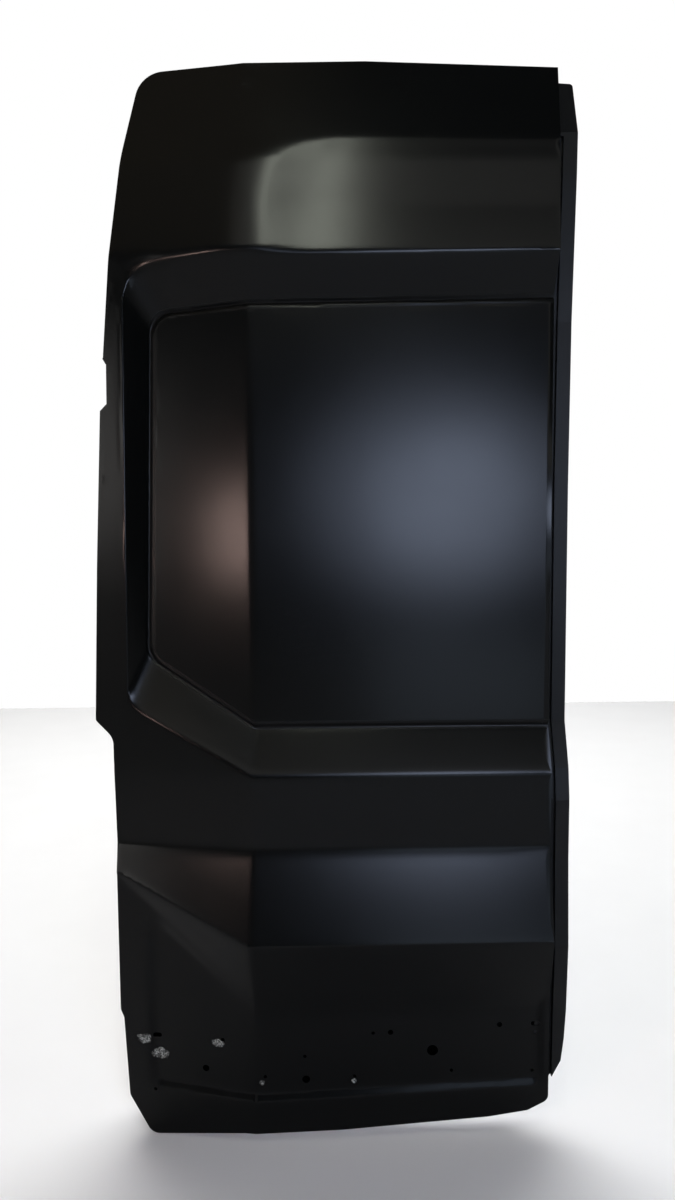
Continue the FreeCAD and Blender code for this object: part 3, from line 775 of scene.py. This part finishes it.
def sealer_growth():
    """A round bead along lines."""
    g = Growth("hem_sealer", {"Bead": "Float", "Finish": "Material"})
    curve = g.add("GeometryNodeMeshToCurve", None, {"Mesh": g.given("Lines")})
    ring = g.add("GeometryNodeCurvePrimitiveCircle", None, {"Resolution": 8, "Radius": g.given("Bead")})
    tube = g.add("GeometryNodeCurveToMesh", None,
                 {"Curve": curve.outputs[0], "Profile Curve": ring.outputs[0]})
    g.close(tube.outputs[0])
    return g


def weld_lines():
    """Lines over the feet of the three beams, on the inner face."""
    lines = []
    for z in BEAM_FEET_Z:
        line = []
        for x in (INNER_SEAM_X, BEND_X, INNER_HINGE_X):
            line.append((x, INNER_FACE_Y + max(0.0, BEND_X - x) * math.tan(TURN), z))
        lines.append(line)
    return lines


def hem_lines(mesh):
    """Inner edge of the folded lip, as one line of points for each chain of edges."""
    work = bmesh.new()
    work.from_mesh(mesh)
    work.normal_update()
    middle = sum((v.co for v in work.verts), Vector()) / len(work.verts)
    near = {}
    for e in work.edges:
        if len(e.link_faces) != 2 or e.calc_length() < SAME_POINT:
            continue
        wall, lip = sorted((f.normal for f in e.link_faces), key=lambda normal: normal.y)
        inward = wall.dot(middle - e.verts[0].co) > 0.0
        if lip.y > FACING and abs(wall.y) < FACING and inward:
            for a, b in (e.verts, reversed(e.verts)):
                near.setdefault(a, []).append(b)
    lines = []
    while near:
        start = next(iter(near))
        line, here = [start], start
        while near.get(here):
            there = near[here].pop()
            if here in near.get(there, []):
                near[there].remove(here)
            line.append(there)
            here = there
        for v in line:
            if v in near and not near[v]:
                del near[v]
        lines.append([tuple(v.co) for v in line])
    work.free()
    return lines


class DOOR_OT_seams(bpy.types.Operator):
    """Set spot welds over the beams' feet and run sealer along the hem"""
    bl_idname = "door.seams"
    bl_label = "Seams"

    def execute(self, context):
        settings = context.scene.door_seams
        values = {"Spacing": settings.spacing, "Nugget": settings.nugget, "Seed": settings.seed}
        weld_growth().grow("spot_welds", weld_lines(), "ecoat_inner", values)
        lines = hem_lines(bpy.data.objects["skin_hem"].data)
        sealer_growth().grow("hem_sealer", lines, "mastic", {"Bead": settings.bead})
        return {"FINISHED"}


def set_camera(scene, lens):
    """Camera that looks level but for a small pitch, yaw and roll."""
    camera = bpy.data.objects.new("camera", bpy.data.cameras.new("camera"))
    camera.data.lens = lens
    camera.data.sensor_width = SENSOR_WIDE
    pitch, yaw, roll = CAMERA_PITCH, CAMERA_YAW, CAMERA_ROLL
    fwd = Vector((math.sin(yaw) * math.cos(pitch), math.cos(yaw) * math.cos(pitch), -math.sin(pitch)))
    side = Vector((math.cos(yaw), -math.sin(yaw), 0.0))
    up = side.cross(fwd)
    right = side * math.cos(roll) + up * math.sin(roll)
    top = up * math.cos(roll) - side * math.sin(roll)
    turn = Matrix((right, top, -fwd)).transposed().to_4x4()
    camera.matrix_world = Matrix.Translation(CAMERA_PLACE) @ turn
    scene.collection.objects.link(camera)
    scene.camera = camera


def stage_sheet(scene, name, corners, glows):
    """A plain pale sheet of the studio. One that glows is white to the camera and to mirrors."""
    piece = bpy.data.objects.new(name, sheet_mesh(name, corners, [(0, 1, 2, 3)]))
    m = Maker(name)
    grain = m.noise(scale=5.0, detail=2.0, rough=0.5)
    m.surface(Base_Color=m.mix(grain, FLOOR_DARK, FLOOR_PALE), Roughness=0.9)
    if glows:
        path = m.tree.nodes.new("ShaderNodeLightPath")
        seen = S(m, path.outputs["Is Camera Ray"]) + S(m, path.outputs["Is Glossy Ray"])
        seen = seen + S(m, path.outputs["Is Transmission Ray"])
        shine = m.node("ShaderNodeEmission", {}, {"Color": WHITE, "Strength": 1.0})
        mixed = m.node("ShaderNodeMixShader", {}, {0: seen, 1: S(m, m.bsdf.outputs[0]), 2: shine})
        m.put(m.tree.nodes["Material Output"].inputs["Surface"], mixed)
    piece.data.materials.append(m.material)
    scene.collection.objects.link(piece)
    piece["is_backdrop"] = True


def area_light(scene, name, place, aim, size, colour, shape, power):
    data = bpy.data.lights.new(name, "AREA")
    data.shape = shape
    data.size, data.size_y = size
    data.energy = power
    data.color = colour
    light = bpy.data.objects.new(name, data)
    light.location = place
    light.rotation_euler = (Vector(aim) - Vector(place)).to_track_quat("-Z", "Y").to_euler()
    scene.collection.objects.link(light)


class DOOR_OT_stage(bpy.types.Operator):
    """Set up the camera, the lights, the floor and the backdrop"""
    bl_idname = "door.stage"
    bl_label = "Studio"

    def execute(self, context):
        scene = context.scene
        settings = scene.door_studio
        set_camera(scene, settings.lens)
        floor_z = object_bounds()[0][2] - FLOOR_GAP
        front = [(-FLOOR_HALF, FLOOR_FRONT_Y, floor_z), (FLOOR_HALF, FLOOR_FRONT_Y, floor_z)]
        back = [(-FLOOR_HALF, FLOOR_BACK_Y, floor_z), (FLOOR_HALF, FLOOR_BACK_Y, floor_z)]
        above = [(-FLOOR_HALF, FLOOR_BACK_Y, WALL_TOP_Z), (FLOOR_HALF, FLOOR_BACK_Y, WALL_TOP_Z)]
        stage_sheet(scene, "floor", front + back[::-1], glows=False)
        stage_sheet(scene, "backdrop", back + above[::-1], glows=True)
        for name, place, aim, size, colour, shape in LIGHTS:
            area_light(scene, name, place, aim, size, colour, shape, getattr(settings, name))
        area_light(scene, "back", BACK_PLACE, BACK_AIM + (floor_z,), BACK_SIZE, WHITE[:3], "RECTANGLE",
                   settings.back)
        world = bpy.data.worlds.new("studio")
        scene.world = world
        world.use_nodes = True
        background = world.node_tree.nodes["Background"]
        background.inputs["Color"].default_value = WORLD_GREY
        background.inputs["Strength"].default_value = 1.0
        scene.view_settings.view_transform = "Standard"
        return {"FINISHED"}


class DOOR_PT_panel(bpy.types.Panel):
    """Sizes and lights of the door"""
    bl_label = "Door"
    bl_space_type = "VIEW_3D"
    bl_region_type = "UI"
    bl_category = "Door"

    def draw(self, context):
        for group in (context.scene.door_skin, context.scene.door_seams, context.scene.door_studio):
            for key in group.__annotations__:
                self.layout.prop(group, key)
        for operator in OPERATORS:
            self.layout.operator(operator.bl_idname)


OPERATORS = (DOOR_OT_materials, DOOR_OT_skin, DOOR_OT_seams, DOOR_OT_stage)
CLASSES = (DoorSkin, DoorSeams, DoorStudio) + OPERATORS + (DOOR_PT_panel,)


def register():
    for cls in CLASSES:
        bpy.utils.register_class(cls)
    bpy.types.Scene.door_skin = PointerProperty(type=DoorSkin)
    bpy.types.Scene.door_seams = PointerProperty(type=DoorSeams)
    bpy.types.Scene.door_studio = PointerProperty(type=DoorStudio)


def unregister():
    del bpy.types.Scene.door_studio
    del bpy.types.Scene.door_seams
    del bpy.types.Scene.door_skin
    for cls in reversed(CLASSES):
        bpy.utils.unregister_class(cls)


def main():
    register()
    bpy.ops.door.materials()
    bpy.ops.door.skin()
    bpy.ops.door.seams()
    bpy.ops.door.stage()


if __name__ == "__main__":
    main()
